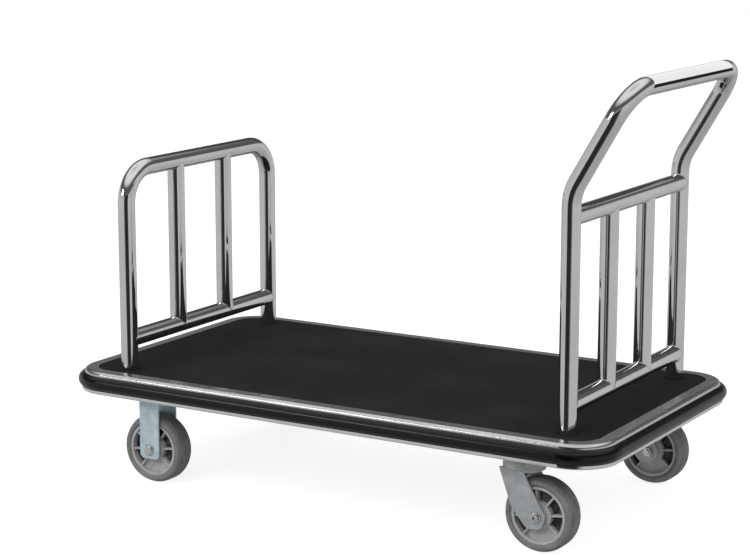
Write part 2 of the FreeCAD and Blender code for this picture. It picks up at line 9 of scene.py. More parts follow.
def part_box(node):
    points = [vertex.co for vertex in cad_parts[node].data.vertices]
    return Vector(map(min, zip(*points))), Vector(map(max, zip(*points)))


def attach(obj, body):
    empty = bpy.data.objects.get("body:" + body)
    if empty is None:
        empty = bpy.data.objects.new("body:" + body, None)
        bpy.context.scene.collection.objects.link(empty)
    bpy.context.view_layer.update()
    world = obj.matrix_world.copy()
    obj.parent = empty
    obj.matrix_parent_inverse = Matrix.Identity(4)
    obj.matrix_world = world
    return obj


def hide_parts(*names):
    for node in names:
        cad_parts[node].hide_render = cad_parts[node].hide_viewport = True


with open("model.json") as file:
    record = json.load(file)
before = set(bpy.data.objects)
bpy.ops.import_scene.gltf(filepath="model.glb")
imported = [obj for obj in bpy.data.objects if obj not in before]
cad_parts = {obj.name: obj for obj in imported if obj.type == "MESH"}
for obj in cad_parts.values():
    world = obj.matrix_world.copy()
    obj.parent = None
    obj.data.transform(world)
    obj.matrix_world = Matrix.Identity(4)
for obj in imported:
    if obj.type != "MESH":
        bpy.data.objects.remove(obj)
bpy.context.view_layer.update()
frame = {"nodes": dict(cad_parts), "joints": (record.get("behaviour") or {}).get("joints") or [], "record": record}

NODES = frame["nodes"]
JOINTS = {joint["name"]: joint for joint in frame["joints"]}
SLOT_OF = {row["node"]: row["material_slot"] for row in frame["record"]["subparts"]}
MM = 0.001
TUBE_R = 19 * MM


# ---------------------------------------------------------------- node helpers

class Nodes:
    """A node tree under construction. Each call adds its nodes and returns an output socket."""

    def __init__(self, tree):
        self.tree = tree

    def add(self, kind, out=0, inputs=None, **settings):
        node = self.tree.nodes.new(kind)
        for key, value in settings.items():
            setattr(node, key, value)
        for key, value in (inputs or {}).items():
            self.plug(node.inputs[key], value)
        return node.outputs[out]

    def plug(self, socket, value):
        """Link a socket or set its value. A colour is given as three numbers and made opaque."""
        if isinstance(value, bpy.types.NodeSocket):
            self.tree.links.new(value, socket)
        elif socket.type == "RGBA":
            socket.default_value = (*value, 1)
        else:
            socket.default_value = value

    def math(self, operation, *values):
        return self.add("ShaderNodeMath", 0, dict(enumerate(values)), operation=operation)

    def vector(self, operation, *values, out=0):
        return self.add("ShaderNodeVectorMath", out, dict(enumerate(values)), operation=operation)

    def range(self, value, low, high, to_low=0.0, to_high=1.0, smooth=True):
        """Map low..high to to_low..to_high and hold the ends."""
        kind = "SMOOTHSTEP" if smooth else "LINEAR"
        inputs = {"Value": value, "From Min": low, "From Max": high, "To Min": to_low, "To Max": to_high}
        return self.add("ShaderNodeMapRange", 0, inputs, interpolation_type=kind)

    def mix(self, factor, a, b):
        """Blend from colour a at factor 0 to colour b at factor 1."""
        node = self.tree.nodes.new("ShaderNodeMix")
        node.data_type = "RGBA"
        self.plug(node.inputs["Factor"], factor)
        colours = [socket for socket in node.inputs if socket.type == "RGBA"]
        self.plug(colours[0], a)
        self.plug(colours[1], b)
        return next(socket for socket in node.outputs if socket.type == "RGBA")

    def grey_ramp(self, value, stops):
        """Greys over -1..1 from (position, grey) stops."""
        node = self.tree.nodes.new("ShaderNodeValToRGB")
        self.plug(node.inputs[0], self.range(value, -1, 1, smooth=False))
        points = node.color_ramp.elements
        while len(points) < len(stops):
            points.new(0.5)
        for point, (place, grey) in zip(points, stops):
            point.position = (place + 1) / 2
            point.color = (grey, grey, grey, 1)
        return node.outputs[0]


class Look(Nodes):
    """A material under construction, with the pattern nodes that its surface needs."""

    def __init__(self, name, **shader):
        self.material = bpy.data.materials.new(name)
        self.material.use_nodes = True
        super().__init__(self.material.node_tree)
        self.shader = self.tree.nodes["Principled BSDF"]
        self.coord = self.add("ShaderNodeTexCoord", "Object")
        self.set(**shader)

    def set(self, **values):
        """Set or link the shader's sockets; Base_Color stands for Base Color."""
        for key, value in values.items():
            self.plug(self.shader.inputs[key.replace("_", " ")], value)

    def point(self, stretch=(1, 1, 1), centre=(0, 0, 0)):
        """Object coordinates in metres, measured from centre and stretched."""
        return self.vector("MULTIPLY", self.vector("SUBTRACT", self.coord, centre), stretch)

    def noise(self, scale, detail=3.0, roughness=0.5, stretch=(1, 1, 1), distortion=0.0):
        inputs = {"Vector": self.point(stretch), "Scale": scale, "Detail": detail,
                  "Roughness": roughness, "Distortion": distortion}
        return self.add("ShaderNodeTexNoise", "Fac", inputs)

    def cells(self, scale):
        return self.add("ShaderNodeTexVoronoi", "Distance", {"Vector": self.point(), "Scale": scale})

    def bump(self, height, distance, strength, below=None):
        """Bump of the given height in metres, on top of the bump below."""
        inputs = {"Height": height, "Distance": distance, "Strength": strength}
        if below is not None:
            inputs["Normal"] = below
        return self.add("ShaderNodeBump", 0, inputs)


def shade(tone, factor):
    return tuple(factor * channel for channel in tone)


# ---------------------------------------------------------------- materials

# Stretches that turn a noise into lines along an axis, or along the strips round the deck.
LINES_ALONG_Z = (1, 1, 0.03)
LINES_ALONG_Y = (1, 0.03, 1)
LINES_ROUND_DECK = (0.05, 0.05, 1)

# Places on a wheel: half widths from its middle plane and radii from its axle.
POCKET_FLOOR = 4 * MM
POCKET_MOUTH = 11.5 * MM
LIP_INNER_R = 56 * MM
LIP_OUTER_R = 59 * MM
TREAD_INNER_R = 70 * MM
TREAD_OUTER_R = 75 * MM
MOULD_LINE = 0.25 * MM
MOULD_LINE_FADE = 0.7 * MM


def polished_steel(name, grain, tone=(0.70, 0.70, 0.71), dull=0.035, wave=0.0):
    """Mirror-polished stainless: buffing lines, finger smudges, scratches and faint ripples.

    dull is the roughness of a clean spot. A strip with a wave is also hand-fitted and a little dented.
    """
    look = Look(name, Metallic=1.0)
    smudge_haze, scratch_haze = 0.075, 0.10
    smudge = look.noise(scale=9, detail=5, roughness=0.6, distortion=0.6)
    buffing = look.noise(scale=1400, detail=2, roughness=0.6, stretch=grain)
    scratch = look.range(look.noise(scale=420, detail=3, roughness=0.7, stretch=grain), 0.68, 0.80)
    look.set(Base_Color=look.mix(look.range(smudge, 0.35, 0.7), tone, shade(tone, 0.93)))
    roughness = look.range(smudge, 0.4, 0.75, dull, dull + smudge_haze)
    look.set(Roughness=look.math("ADD", roughness, look.math("MULTIPLY", scratch, scratch_haze)))
    normal = look.bump(buffing, 0.02 * MM, 0.25)
    ripple = look.noise(scale=55, detail=2)
    normal = look.bump(ripple, 0.10 * MM, 0.5, normal)
    if wave:
        swell = look.noise(scale=24, detail=2, roughness=0.45, distortion=0.8)
        normal = look.bump(swell, wave, 1.0, normal)
        dents = look.range(look.cells(38), 0.0, 0.16, 1.0, 0.0)
        normal = look.bump(dents, 0.12 * MM, 0.6, normal)
    look.set(Normal=normal)
    return look.material


def carpet_cloth():
    """Flat charcoal needle-punch carpet: tangled short fibres, slight shade drift, faint lint."""
    dark, light = (0.0036, 0.0043, 0.0047), (0.0300, 0.0336, 0.0360)
    drifted, lint_grey = (0.0200, 0.0224, 0.0240), (0.11, 0.11, 0.12)
    look = Look("carpet_fibre", Specular_IOR_Level=0.10, Sheen_Weight=0.015, Sheen_Roughness=0.5)
    fibres_x = look.noise(scale=900, detail=4, roughness=0.7, stretch=(1, 0.35, 1), distortion=1.5)
    fibres_y = look.noise(scale=1000, detail=4, roughness=0.7, stretch=(0.35, 1, 1), distortion=1.5)
    fibres = look.math("MAXIMUM", fibres_x, fibres_y)
    tufts = look.noise(scale=210, detail=4, roughness=0.7)
    drift = look.noise(scale=5, detail=3, roughness=0.55)
    lint = look.range(look.noise(scale=620, detail=2), 0.79, 0.83)
    colour = look.mix(look.range(fibres, 0.42, 0.72), dark, light)
    colour = look.mix(look.range(tufts, 0.42, 0.62, 0.0, 0.75), colour, dark)
    colour = look.mix(look.range(drift, 0.35, 0.7, 0.0, 0.55), colour, drifted)
    look.set(Base_Color=look.mix(lint, colour, lint_grey))
    look.set(Roughness=look.range(fibres, 0.3, 0.7, 0.97, 0.82))
    normal = look.bump(tufts, 0.5 * MM, 0.5)
    look.set(Normal=look.bump(fibres, 0.45 * MM, 0.9, normal))
    return look.material


def gloss_rubber():
    """Glossy black extruded rubber: draw lines along its run, orange peel, dust and scuffs."""
    clean, marked = (0.003, 0.003, 0.0033), (0.018, 0.0175, 0.0185)
    look = Look("bumper_rubber", Specular_IOR_Level=0.30)
    dust = look.range(look.noise(scale=26, detail=6, roughness=0.65, distortion=0.5), 0.50, 0.85)
    scuff = look.noise(scale=150, detail=4, roughness=0.7, stretch=(0.15, 0.15, 1))
    scuff = look.range(scuff, 0.66, 0.76)
    marks = look.math("MAXIMUM", look.math("MULTIPLY", dust, 0.35), look.math("MULTIPLY", scuff, 0.5))
    look.set(Base_Color=look.mix(marks, clean, marked))
    look.set(Roughness=look.range(marks, 0.0, 0.5, 0.20, 0.42))
    draw = look.noise(scale=1300, detail=2, stretch=(0.004, 0.004, 1))
    peel = look.noise(scale=420, detail=2)
    swell = look.noise(scale=30, detail=2)
    normal = look.bump(draw, 0.03 * MM, 0.5)
    normal = look.bump(peel, 0.03 * MM, 0.6, normal)
    look.set(Normal=look.bump(swell, 0.35 * MM, 0.6, normal))
    return look.material


def zinc(name, tone, metallic, roughness):
    """Pressed steel with a zinc finish: cloudy plating, rolling grain and small rubs."""
    look = Look(name, Metallic=metallic)
    cloud = look.noise(scale=42, detail=5, roughness=0.6, distortion=0.4)
    grain = look.noise(scale=900, detail=3, roughness=0.6, stretch=(1, 1, 0.12))
    rub = look.range(look.noise(scale=120, detail=5, roughness=0.7), 0.62, 0.78)
    pale, deep, rubbed = shade(tone, 1.12), shade(tone, 0.84), shade(tone, 0.6)
    colour = look.mix(look.range(cloud, 0.35, 0.68), deep, pale)
    colour = look.mix(look.range(grain, 0.3, 0.7, 0.0, 0.18), colour, deep)
    look.set(Base_Color=look.mix(look.math("MULTIPLY", rub, 0.35), colour, rubbed))
    cloud_haze = look.range(cloud, 0.3, 0.7, roughness, roughness + 0.12)
    look.set(Roughness=look.math("ADD", cloud_haze, look.math("MULTIPLY", rub, 0.12)))
    normal = look.bump(grain, 0.03 * MM, 0.6)
    look.set(Normal=look.bump(look.noise(scale=160), 0.06 * MM, 0.6, normal))
    return look.material


def plated_fastener():
    """Bright plated bolts and nuts: turning marks, tiny pits, duller in places."""
    bright, tarnished = (0.66, 0.67, 0.68), (0.50, 0.50, 0.49)
    look = Look("fastener_plating", Metallic=1.0)
    tint = look.noise(scale=170, detail=4, roughness=0.6)
    look.set(Base_Color=look.mix(look.range(tint, 0.3, 0.7), bright, tarnished))
    look.set(Roughness=look.range(tint, 0.3, 0.75, 0.16, 0.34))
    turning = look.noise(scale=2200, detail=2, roughness=0.6, stretch=(1, 0.1, 1))
    normal = look.bump(turning, 0.02 * MM, 0.6)
    look.set(Normal=look.bump(look.noise(scale=500), 0.03 * MM, 0.5, normal))
    return look.material


def around(look, axle):
    """Distance from a wheel's axle, and the distance along the axle from its middle."""
    spot = look.point(centre=axle)
    out = look.vector("LENGTH", look.vector("MULTIPLY", spot, (1, 0, 1)), out="Value")
    return out, look.math("ABSOLUTE", look.add("ShaderNodeSeparateXYZ", "Y", {0: spot}))


def wheel_plastic(name, axle):
    """Moulded grey plastic: fine spark grain, flow clouds, painted shade in the pockets and grimy rubs at the lip.
    """
    dark, light = (0.44, 0.44, 0.435), (0.53, 0.53, 0.525)
    # The first colour below is painted shade for the wheel's pockets; the second is real soiling at the lip.
    pocket_shade, lip_dirt = (0.022, 0.021, 0.020), (0.20, 0.19, 0.18)
    look = Look(name, Specular_IOR_Level=0.42)
    out, across = around(look, axle)
    cloud = look.noise(scale=60, detail=4, roughness=0.55)
    grime_and_shade = look.noise(scale=95, detail=5, roughness=0.65, distortion=0.6)
    colour = look.mix(look.range(cloud, 0.35, 0.7), dark, light)
    # Painted shade: the pockets near the wheel's middle plane are darkened almost to black, broken up a little by
    # a noise.
    deep = look.range(across, POCKET_FLOOR, POCKET_MOUTH, 1.0, 0.0)
    pocket_shade_mask = look.math("MULTIPLY", deep, look.range(grime_and_shade, 0.30, 0.62, 0.72, 1.0))
    colour = look.mix(pocket_shade_mask, colour, pocket_shade)
    rub = look.math("MULTIPLY", look.range(out, LIP_INNER_R, LIP_OUTER_R), look.range(grime_and_shade, 0.45, 0.65))
    look.set(Base_Color=look.mix(look.math("MULTIPLY", rub, 0.5), colour, lip_dirt))
    look.set(Roughness=look.range(grime_and_shade, 0.3, 0.7, 0.42, 0.60))
    normal = look.bump(look.noise(scale=1500, detail=2, roughness=0.6), 0.05 * MM, 0.7)
    look.set(Normal=look.bump(look.noise(scale=140, detail=2), 0.10 * MM, 0.4, normal))
    return look.material


def tyre_rubber(name, axle):
    """Non-marking grey rubber: moulding line, fine grain, soil from the floor and nicks on the tread."""
    dark, light = (0.195, 0.195, 0.198), (0.250, 0.250, 0.248)
    floor_dirt, nicked = (0.100, 0.097, 0.093), (0.09, 0.088, 0.085)
    look = Look(name, Specular_IOR_Level=0.35)
    out, across = around(look, axle)
    cloud = look.noise(scale=48, detail=5, roughness=0.6)
    colour = look.mix(look.range(cloud, 0.35, 0.7), dark, light)
    tread = look.range(out, TREAD_INNER_R, TREAD_OUTER_R)
    smear = look.noise(scale=70, detail=5, roughness=0.7, stretch=(0.5, 2.2, 0.5))
    smear = look.range(smear, 0.42, 0.68)
    smudge = look.math("MULTIPLY", tread, look.range(smear, 0.0, 1.0, 0.25, 0.80))
    colour = look.mix(smudge, colour, floor_dirt)
    nicks = look.range(look.noise(scale=330, detail=3, roughness=0.6), 0.70, 0.76)
    look.set(Base_Color=look.mix(look.math("MULTIPLY", nicks, 0.6), colour, nicked))
    look.set(Roughness=look.range(cloud, 0.3, 0.7, 0.50, 0.66))
    line = look.range(across, MOULD_LINE, MOULD_LINE_FADE, 1.0, 0.0)
    normal = look.bump(line, 0.25 * MM, 0.8)
    normal = look.bump(look.noise(scale=1100, roughness=0.6), 0.07 * MM, 0.8, normal)
    look.set(Normal=look.bump(look.math("MULTIPLY", nicks, -1.0), 0.2 * MM, 0.8, normal))
    return look.material


def plywood():
    """Sealed plywood: long grain under the board, plies and glue lines on its edge."""
    pale_wood, dark_wood = (0.46, 0.31, 0.17), (0.30, 0.18, 0.085)
    glue, pore_brown = (0.16, 0.09, 0.045), (0.15, 0.085, 0.04)
    look = Look("deck_plywood", Coat_Weight=0.25, Coat_Roughness=0.3)
    grain = look.noise(scale=60, detail=6, roughness=0.65, stretch=(0.05, 1, 1), distortion=0.8)
    pores = look.noise(scale=900, detail=2, roughness=0.6, stretch=(0.03, 1, 1))
    pores = look.range(pores, 0.60, 0.75)
    plies = look.add("ShaderNodeTexWave", "Fac", {"Vector": look.point(), "Scale": 55.0, "Distortion": 1.5},
                     bands_direction="Z")
    colour = look.mix(look.range(grain, 0.3, 0.7), pale_wood, dark_wood)
    colour = look.mix(look.range(plies, 0.75, 0.95, 0.0, 0.35), colour, glue)
    look.set(Base_Color=look.mix(look.math("MULTIPLY", pores, 0.5), colour, pore_brown))
    look.set(Roughness=look.range(grain, 0.3, 0.7, 0.42, 0.62))
    look.set(Normal=look.bump(grain, 0.15 * MM, 0.5, look.bump(pores, -0.1 * MM, 0.6)))
    return look.material


def frame_paint():
    """Semi-gloss black paint on the box frame: orange peel, dust and chipped spots."""
    clean, dusty, chipped = (0.013, 0.013, 0.014), (0.05, 0.047, 0.044), (0.16, 0.12, 0.10)
    look = Look("frame_paint")
    dust = look.range(look.noise(scale=20, detail=6, roughness=0.65), 0.45, 0.8)
    chips = look.range(look.noise(scale=140, detail=4, roughness=0.6), 0.735, 0.76)
    colour = look.mix(look.math("MULTIPLY", dust, 0.5), clean, dusty)
    look.set(Base_Color=look.mix(chips, colour, chipped))
    look.set(Roughness=look.range(dust, 0.0, 1.0, 0.28, 0.55))
    normal = look.bump(look.noise(scale=480, detail=2), 0.05 * MM, 0.6)
    look.set(Normal=look.bump(chips, -0.1 * MM, 0.7, normal))
    return look.material


UPRIGHT = polished_steel("polished_upright", LINES_ALONG_Z)
LEVEL = polished_steel("polished_level", LINES_ALONG_Y)
EDGE_STEEL = polished_steel("polished_edge", LINES_ROUND_DECK, tone=(0.74, 0.74, 0.75),
                            dull=0.10, wave=0.35 * MM)
# Painted shade: the rim's steel tone is set darker than the other polished steel, standing in for a dim reflection
# from above.
RIM_STEEL = polished_steel("polished_rim", LINES_ROUND_DECK, tone=(0.62, 0.62, 0.63),
                           dull=0.24, wave=0.60 * MM)
BLUE_ZINC = zinc("zinc_rigid", tone=(0.60, 0.71, 0.77), metallic=0.35, roughness=0.42)
GREY_ZINC = zinc("zinc_swivel", tone=(0.49, 0.51, 0.525), metallic=0.40, roughness=0.46)
BY_SLOT = {"carpet": carpet_cloth(), "plywood": plywood(), "polished_steel": UPRIGHT,
           "black_rubber": gloss_rubber(), "black_frame": frame_paint(), "zinc_steel": GREY_ZINC,
           "fastener": plated_fastener()}
BY_NODE = {"rim_trim": RIM_STEEL, "edge_channel": EDGE_STEEL, "end_rail_crossbar": LEVEL,
           "handle_mid_crossbar": LEVEL, "handle_low_crossbar": LEVEL,
           "rigid_front_fork": BLUE_ZINC, "rigid_rear_fork": BLUE_ZINC}
for wheel in ("rigid_front", "rigid_rear", "swivel_front", "swivel_rear"):
    wheel_axle = tuple(JOINTS[wheel + "_spin"]["pos_m"])
    BY_NODE[wheel + "_wheel_core"] = wheel_plastic(wheel + "_plastic", wheel_axle)
    BY_NODE[wheel + "_tyre"] = tyre_rubber(wheel + "_rubber", wheel_axle)


def dress(obj, material):
    obj.data.materials.clear()
    obj.data.materials.append(material)


for node_name, node_obj in NODES.items():
    dress(node_obj, BY_NODE.get(node_name) or BY_SLOT[SLOT_OF[node_name]])


# ---------------------------------------------------------------- pieces

def add_mesh(name, verts, faces, material):
    mesh = bpy.data.meshes.new(name)
    mesh.from_pydata(verts, [], faces)
    obj = bpy.data.objects.new(name, mesh)
    bpy.context.scene.collection.objects.link(obj)
    dress(obj, material)
    return obj


def make_piece(name, verts, faces, body, material):
    obj = add_mesh(name, verts, faces, material)
    obj.data.polygons.foreach_set("use_smooth", [True] * len(faces))
    obj.data.update()
    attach(obj, body)
    return obj


# Carpet: the outline is that of its CAD solid, and the corner is the deck's less the rim's inset.
CARPET_LOW, CARPET_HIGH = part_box("carpet")
CARPET_MIDDLE = (CARPET_HIGH + CARPET_LOW) / 2
CARPET_HALF = (CARPET_HIGH - CARPET_LOW) / 2
CARPET_CORNER_R = 74 * MM
CARPET_STEP = 6.5 * MM
CARPET_BASE = CARPET_LOW.z + 0.15 * MM
CARPET_TOP = CARPET_HIGH.z - 0.25 * MM
CORNER_STEPS = 12
POST_HOLE_R = 19.35 * MM
POST_HOLE_STEPS = 40

# How far the rim covers the carpet, and how far inside the cut the visible mesh stops.
RIM_COVER = 22 * MM
BORDER_INSET = RIM_COVER - 6 * MM

# Grid points keep this far from the border and from the post holes.
BORDER_CLEAR = 2 * MM
HOLE_CLEAR = 1.5 * MM

# The carpet is pressed down under the rim, swells just inside it and dips at the posts.
PRESS_DEPTH = 1.0 * MM
PRESS_RUN = 4 * MM
SWELL_HEIGHT = 0.25 * MM
SWELL_INSET = 7 * MM
SWELL_WIDTH = 5 * MM
DIP_DEPTH = 0.5 * MM
DIP_WIDTH = 2.5 * MM
PILE_HEIGHT = 0.16 * MM
PILE_PER_METRE = 160
UNEVEN_HEIGHT = 0.14 * MM
UNEVEN_PER_METRE = 28
UNEVEN_LAYER = 3

# Arguments of the triangulation: keep what lies inside the loops, and merge nearer points than this.
INSIDE_LOOPS = 1
MERGE_DISTANCE = 1e-7


def inset_of(x, y):
    """How far a point lies inside the carpet's rounded outline."""
    dx = abs(x - CARPET_MIDDLE.x) - (CARPET_HALF.x - CARPET_CORNER_R)
    dy = abs(y - CARPET_MIDDLE.y) - (CARPET_HALF.y - CARPET_CORNER_R)
    outside = math.hypot(max(dx, 0), max(dy, 0)) + min(max(dx, dy), 0)
    return CARPET_CORNER_R - outside


def post_centres():
    """Where the four posts come through the carpet, from the feet of the two hoops."""
    centres = []
    for hoop in ("end_rail_hoop", "handle_hoop"):
        feet = [v.co for v in NODES[hoop].data.vertices if v.co.z < CARPET_HIGH.z]
        x = (min(c.x for c in feet) + max(c.x for c in feet)) / 2
        y = max(c.y for c in feet) - TUBE_R
        centres += [(x, -y), (x, y)]
    return centres


POSTS = post_centres()


def hole_gap(x, y):
    """Distance from a point to the nearest post hole, below zero inside it."""
    return min(math.hypot(x - px, y - py) for px, py in POSTS) - POST_HOLE_R


def carpet_height(x, y):
    """Top of the carpet: flat, pressed down under the rim, with an uneven pile."""
    inside = inset_of(x, y) - RIM_COVER
    free = min(max(inside / PRESS_RUN, 0), 1)
    lift = SWELL_HEIGHT * math.exp(-((inside - SWELL_INSET) / SWELL_WIDTH) ** 2)
    lift -= DIP_DEPTH * math.exp(-(hole_gap(x, y) / DIP_WIDTH) ** 2)
    lift += PILE_HEIGHT * noise.noise(Vector((x, y, 0)) * PILE_PER_METRE)
    lift += UNEVEN_HEIGHT * noise.noise(Vector((x, y, UNEVEN_LAYER)) * UNEVEN_PER_METRE)
    return CARPET_TOP - PRESS_DEPTH * (1 - free) ** 2 + lift * free


def carpet_loops():
    """The border of the visible sheet, then the four post holes."""
    radius = CARPET_CORNER_R - BORDER_INSET
    border = []
    for quarter, (sx, sy) in enumerate(((1, 1), (-1, 1), (-1, -1), (1, -1))):
        corner_x = CARPET_MIDDLE.x + sx * (CARPET_HALF.x - CARPET_CORNER_R)
        corner_y = CARPET_MIDDLE.y + sy * (CARPET_HALF.y - CARPET_CORNER_R)
        for step in range(CORNER_STEPS + 1):
            turn = math.radians(90 * quarter + 90 * step / CORNER_STEPS)
            border.append((corner_x + radius * math.cos(turn), corner_y + radius * math.sin(turn)))
    loops = [border]
    turns = [2 * math.pi * step / POST_HOLE_STEPS for step in range(POST_HOLE_STEPS)]
    for px, py in POSTS:
        loops.append([(px + POST_HOLE_R * math.cos(turn), py + POST_HOLE_R * math.sin(turn)) for turn in turns])
    return loops


def carpet_triangles():
    """Flat points and triangles of the sheet: its loops, filled with a staggered grid."""
    points, edges = [], []
    for loop in carpet_loops():
        first = len(points)
        points += [Vector(p) for p in loop]
        edges += [(first + k, first + (k + 1) % len(loop)) for k in range(len(loop))]
    columns = int((CARPET_HIGH.x - CARPET_LOW.x) / CARPET_STEP)
    rows = int((CARPET_HIGH.y - CARPET_LOW.y) / CARPET_STEP)
    for i in range(columns):
        for j in range(rows):
            x = CARPET_LOW.x + (i + 0.5 * (j % 2)) * CARPET_STEP
            y = CARPET_LOW.y + j * CARPET_STEP
            if inset_of(x, y) > BORDER_INSET + BORDER_CLEAR and hole_gap(x, y) > HOLE_CLEAR:
                points.append(Vector((x, y)))
    found, _, triangles, _, _, _ = delaunay_2d_cdt(points, edges, [], INSIDE_LOOPS, MERGE_DISTANCE)
    kept = []
    for triangle in triangles:
        centre = sum((found[k] for k in triangle), Vector((0, 0))) / 3
        if hole_gap(centre.x, centre.y) > -0.02 * POST_HOLE_R:
            kept.append(tuple(triangle))
    return found, kept


def build_carpet():
    """A closed sheet: the uneven top, a flat underside and a wall along every open edge."""
    points, triangles = carpet_triangles()
    count = len(points)
    verts = [(p.x, p.y, carpet_height(p.x, p.y)) for p in points]
    verts += [(p.x, p.y, CARPET_BASE) for p in points]
    faces = triangles + [tuple(count + k for k in reversed(t)) for t in triangles]
    sides = {(t[k], t[(k + 1) % 3]) for t in triangles for k in range(3)}
    faces += [(b, a, count + a, count + b) for a, b in sorted(sides) if (b, a) not in sides]
    carpet = make_piece("carpet_sheet", verts, faces, "cart", BY_SLOT["carpet"])
    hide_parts("carpet")


build_carpet()


# Weld beads: a small ground bead along each curve where a tube is coped on to another.
BEAD_R = 1.5 * MM
BEAD_SINK = 0.45
BEAD_STEPS = 56
BEAD_SIDES = 8

# Rounds the two low points of the saddle curve, where its rise would turn sharply.
SADDLE_ROUNDING = 0.004


def saddle_bead(centre, along_bar, along_tube, verts, faces):
    """Bead round a bar that leaves centre along along_bar, on a tube of the same radius."""
    across = along_bar.cross(along_tube)
    ring = []
    for step in range(BEAD_STEPS):
        turn = 2 * math.pi * step / BEAD_STEPS
        rise = math.sqrt(math.cos(turn) ** 2 + SADDLE_ROUNDING)
        spoke = math.cos(turn) * along_tube + math.sin(turn) * across + rise * along_bar
        ring.append(centre + TUBE_R * spoke)
    first = len(verts)
    for step, spot in enumerate(ring):
        ahead = (ring[(step + 1) % BEAD_STEPS] - ring[step - 1]).normalized()
        side = ahead.cross((spot - centre).normalized()).normalized()
        out = side.cross(ahead)
        for k in range(BEAD_SIDES):
            turn = 2 * math.pi * k / BEAD_SIDES
            skin = BEAD_R * (math.cos(turn) * out + math.sin(turn) * side)
            verts.append(spot - BEAD_SINK * BEAD_R * out + skin)
    for step in range(BEAD_STEPS):
        here = first + step * BEAD_SIDES
        after = first + (step + 1) % BEAD_STEPS * BEAD_SIDES
        for k in range(BEAD_SIDES):
            k_next = (k + 1) % BEAD_SIDES
            faces.append((here + k, here + k_next, after + k_next, after + k))


def build_welds(name, crossbars, bars):
    """Beads at both ends of the level crossbars and of the upright bars."""
    verts, faces = [], []
    up = Vector((0, 0, 1))
    sideways = Vector((0, 1, 0))
    for node in crossbars:
        low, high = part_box(node)
        x, z = (low.x + high.x) / 2, (low.z + high.z) / 2
        saddle_bead(Vector((x, low.y, z)), sideways, up, verts, faces)
        saddle_bead(Vector((x, high.y, z)), -sideways, up, verts, faces)
    for node in bars:
        low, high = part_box(node)
        x, y = (low.x + high.x) / 2, (low.y + high.y) / 2
        saddle_bead(Vector((x, y, low.z)), up, sideways, verts, faces)
        saddle_bead(Vector((x, y, high.z)), -up, sideways, verts, faces)
    make_piece(name, verts, faces, "cart", UPRIGHT)


build_welds("end_rail_welds", ["end_rail_crossbar"], ["end_rail_bar_front", "end_rail_bar_rear"])
build_welds("handle_welds", ["handle_mid_crossbar", "handle_low_crossbar"],
            ["handle_bar_front", "handle_bar_rear"])


# ---------------------------------------------------------------- studio

# Camera: from a perspective fit of the photograph.
CAMERA_AZ = math.radians(30.877)
CAMERA_EL = math.radians(11.114)
CAMERA_DISTANCE = 4.58317
CAMERA_TARGET = Vector((-0.0747, 0.005245, 0.448152))
FOCAL_PIXELS = 2088.931
FRAME_PIXELS = 750
SENSOR_MM = 36
CLIP_NEAR = 0.05
CLIP_FAR = 100

LIGHT_TARGET = Vector((0, 0, 0.35))

# Surroundings: greys by height of the view direction and by its azimuth towards the camera.
GREY_BY_HEIGHT = [(-1, 0.42), (-0.35, 0.55), (-0.15, 0.64), (0.0, 0.66), (0.20, 0.60), (0.26, 0.12),
                  (0.56, 0.12), (0.62, 0.45), (0.76, 0.95), (0.93, 1.0), (1.0, 0.7)]
GREY_BY_AZIMUTH = [(-1, 0.5), (-0.9, 0.6), (-0.75, 1.0), (1, 1.0)]
OVERHEAD_FROM = 0.5
OVERHEAD_TO = 0.7
DIFFUSE_STRENGTH = 0.80

# Floor and dome: the dome starts at DOME_FOOT degrees, a little below the floor's edge.
FLOOR_HALF = 14.0
DOME_R = 30.0
DOME_RINGS = 12
DOME_STEPS = 48
DOME_FOOT = -4
WHITE = (1, 1, 1)

# Flag: a curved dark panel in front of the cart that fades out towards its ends.
FLAG_AZ = math.radians(22)
FLAG_CENTRE = Vector((0.52, -1.82, 0.15))
FLAG_HALF_WIDTH = 1.6
FLAG_HALF_HEIGHT = 1.0
FLAG_R = 2.2
FLAG_STEPS = 12
FLAG_SOLID = 0.60
FLAG_GONE = 1.45
FLAG_GLOW = 0.03

# Cards: curved panels round the handle's top bar, as name, first and last angle, and glow.
CARDS = (("card_dark", -24, 10, 0.02), ("card_white", 12, 150, 1.15))
CARD_R = 0.10
CARD_Y0 = -0.07
CARD_Y1 = 0.40
CARD_STEPS = 16


def facing(azimuth, elevation):
    """Unit vector from the object towards an azimuth and elevation, in radians."""
    return Vector((math.sin(azimuth) * math.cos(elevation), -math.cos(azimuth) * math.cos(elevation),
                   math.sin(elevation)))


def aim(obj, place, target):
    obj.location = place
    obj.rotation_mode = "QUATERNION"
    obj.rotation_quaternion = (target - place).to_track_quat("-Z", "Y")
    bpy.context.scene.collection.objects.link(obj)


def add_camera():
    lens = bpy.data.cameras.new("camera")
    lens.lens = FOCAL_PIXELS * SENSOR_MM / FRAME_PIXELS
    lens.clip_start = CLIP_NEAR
    lens.clip_end = CLIP_FAR
    camera = bpy.data.objects.new("camera", lens)
    aim(camera, CAMERA_TARGET + facing(CAMERA_AZ, CAMERA_EL) * CAMERA_DISTANCE, CAMERA_TARGET)
    bpy.context.scene.camera = camera


def add_softbox(name, azimuth, elevation, distance, size, watts, glossy=True):
    """Soft lamp at an azimuth and elevation in degrees; with glossy off it stays out of the polish."""
    lamp = bpy.data.lights.new(name, "AREA")
    lamp.shape = "RECTANGLE"
    lamp.size, lamp.size_y = size
    lamp.energy = watts
    obj = bpy.data.objects.new(name, lamp)
    aim(obj, LIGHT_TARGET + facing(math.radians(azimuth), math.radians(elevation)) * distance, LIGHT_TARGET)
    obj.visible_glossy = glossy
    obj.visible_camera = False


